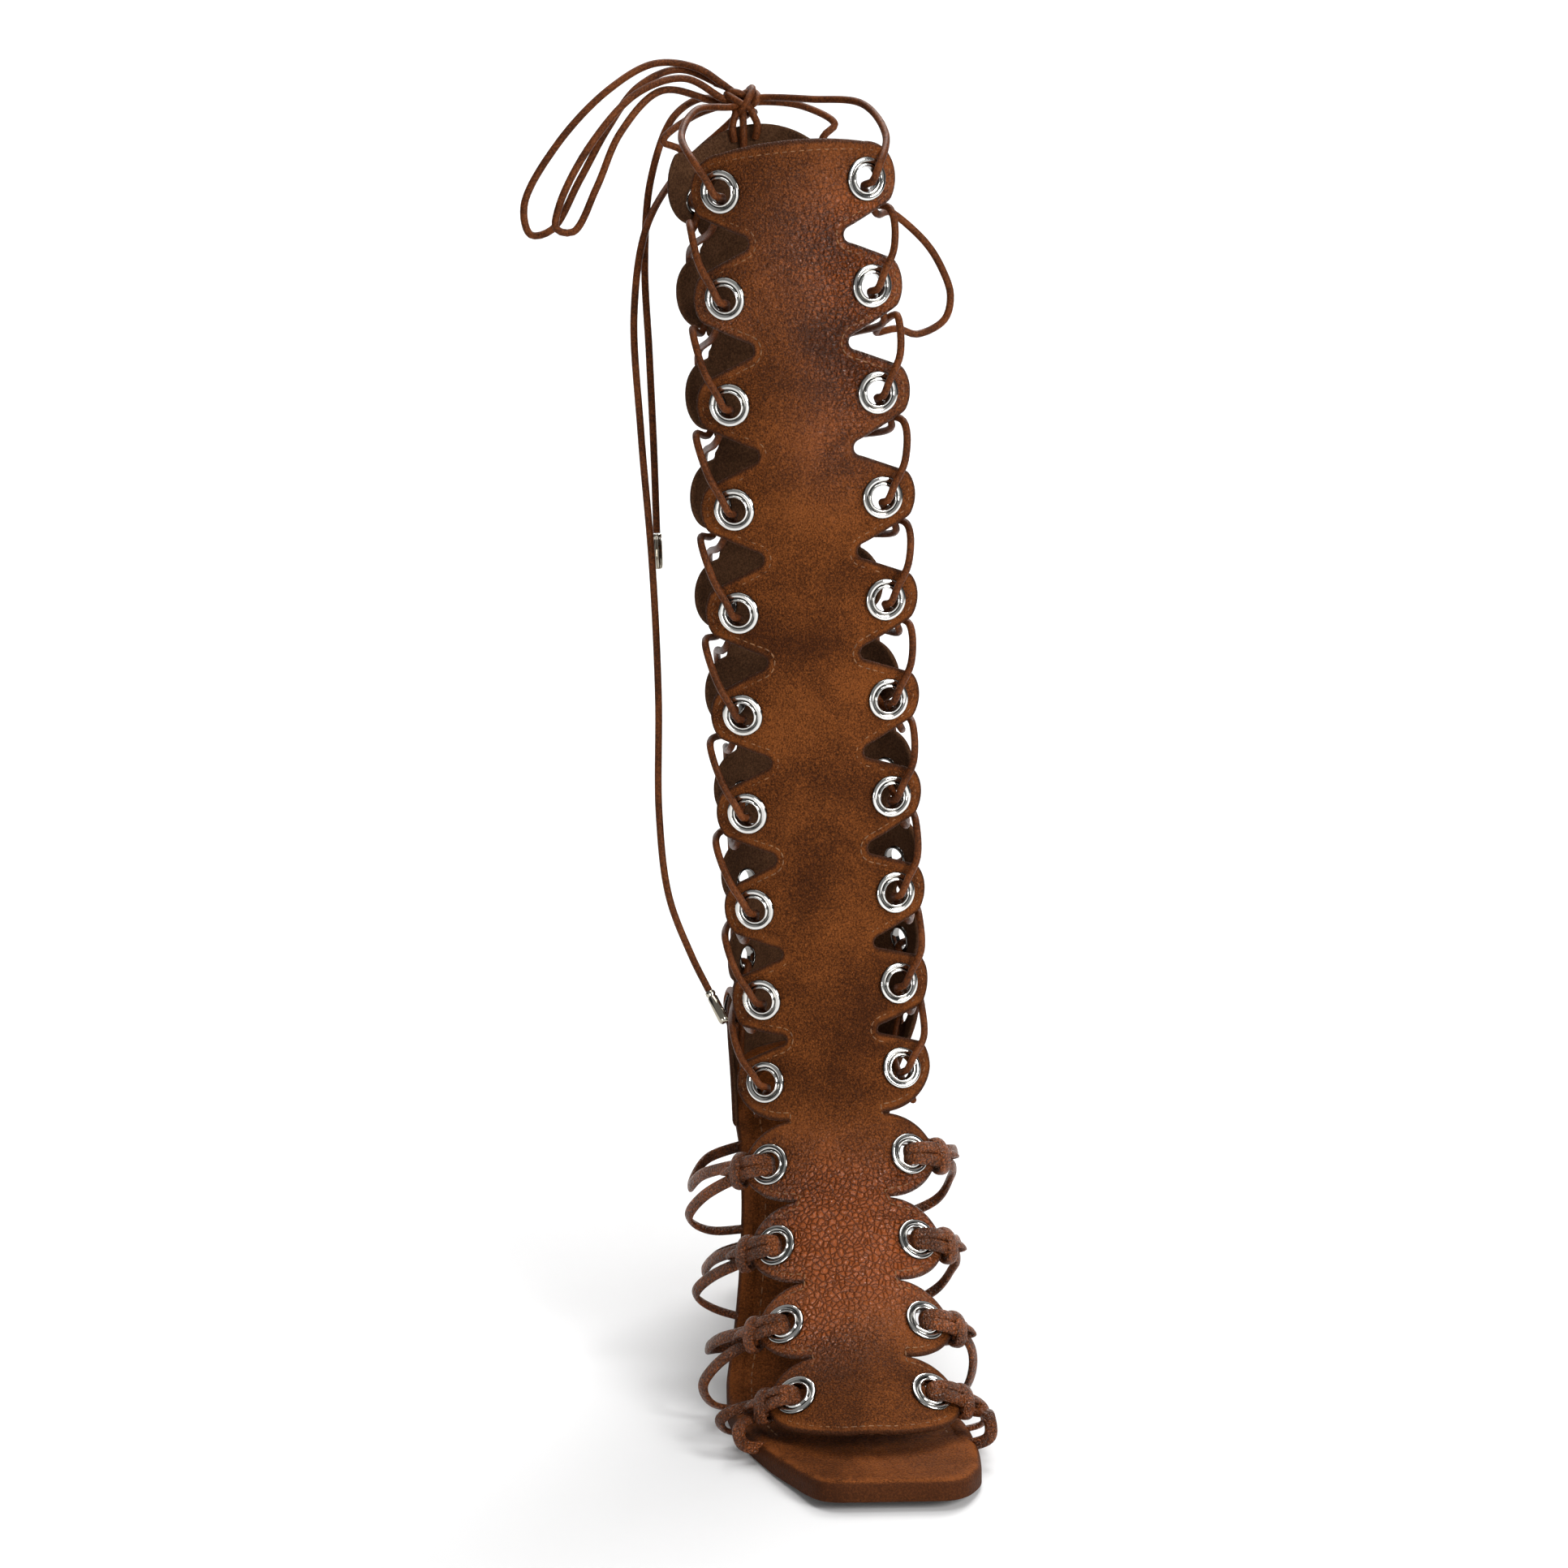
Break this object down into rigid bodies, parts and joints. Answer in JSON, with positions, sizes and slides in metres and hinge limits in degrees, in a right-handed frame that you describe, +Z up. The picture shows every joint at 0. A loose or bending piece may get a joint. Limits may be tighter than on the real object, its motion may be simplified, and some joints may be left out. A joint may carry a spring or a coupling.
{
  "type": "gladiator sandal",
  "caption": "Tall right-foot gladiator sandal on a block heel, with scalloped leather panels laced through metal eyelets and knotted straps along the open sides of the foot.",
  "frame": {"origin": "on the floor, in the forefoot's flat spot, under the ball of the foot", "axes": "+Z up along the shaft, -Y towards the toe, +X towards the wearer's medial side"},
  "size_m": [0.1501, 0.226, 0.4431],
  "materials": {
    "leather": "pebbled faux leather, satin, mottled cognac and dark brown",
    "cord": "rolled round leather cord, satin",
    "rubber": "matt",
    "nickel": "polished nickel"
  },
  "bodies": {
    "root": {"front_panel": "leather", "back_panel": "leather", "eyelet_medial_01": "nickel", "eyelet_lateral_01": "nickel", "eyelet_medial_02": "nickel", "eyelet_lateral_02": "nickel", "eyelet_medial_03": "nickel", "eyelet_lateral_03": "nickel", "eyelet_medial_04": "nickel", "eyelet_lateral_04": "nickel", "eyelet_medial_05": "nickel", "eyelet_lateral_05": "nickel", "eyelet_medial_06": "nickel", "eyelet_lateral_06": "nickel", "eyelet_medial_07": "nickel", "eyelet_lateral_07": "nickel", "eyelet_medial_08": "nickel", "eyelet_lateral_08": "nickel", "eyelet_medial_09": "nickel", "eyelet_lateral_09": "nickel", "eyelet_medial_10": "nickel", "eyelet_lateral_10": "nickel", "eyelet_medial_11": "nickel", "eyelet_lateral_11": "nickel", "eyelet_medial_12": "nickel", "eyelet_lateral_12": "nickel", "eyelet_medial_13": "nickel", "eyelet_lateral_13": "nickel", "eyelet_medial_14": "nickel", "eyelet_lateral_14": "nickel", "outsole": "rubber", "footbed": "leather", "heel_block": "leather", "top_lift": "rubber", "strap_medial_11": "leather", "strap_lateral_11": "leather", "strap_medial_12": "leather", "strap_lateral_12": "leather", "strap_medial_13": "leather", "strap_lateral_13": "leather", "strap_medial_14": "leather", "strap_lateral_14": "leather", "lace_medial": "cord", "lace_lateral": "cord", "bow_knot": "cord", "bow_loop_outer": "cord", "bow_loop_inner": "cord", "lace_end_short": "cord", "aglet_short": "nickel", "lace_end_long": "cord", "aglet_long": "nickel"}
  },
  "joints": []
}
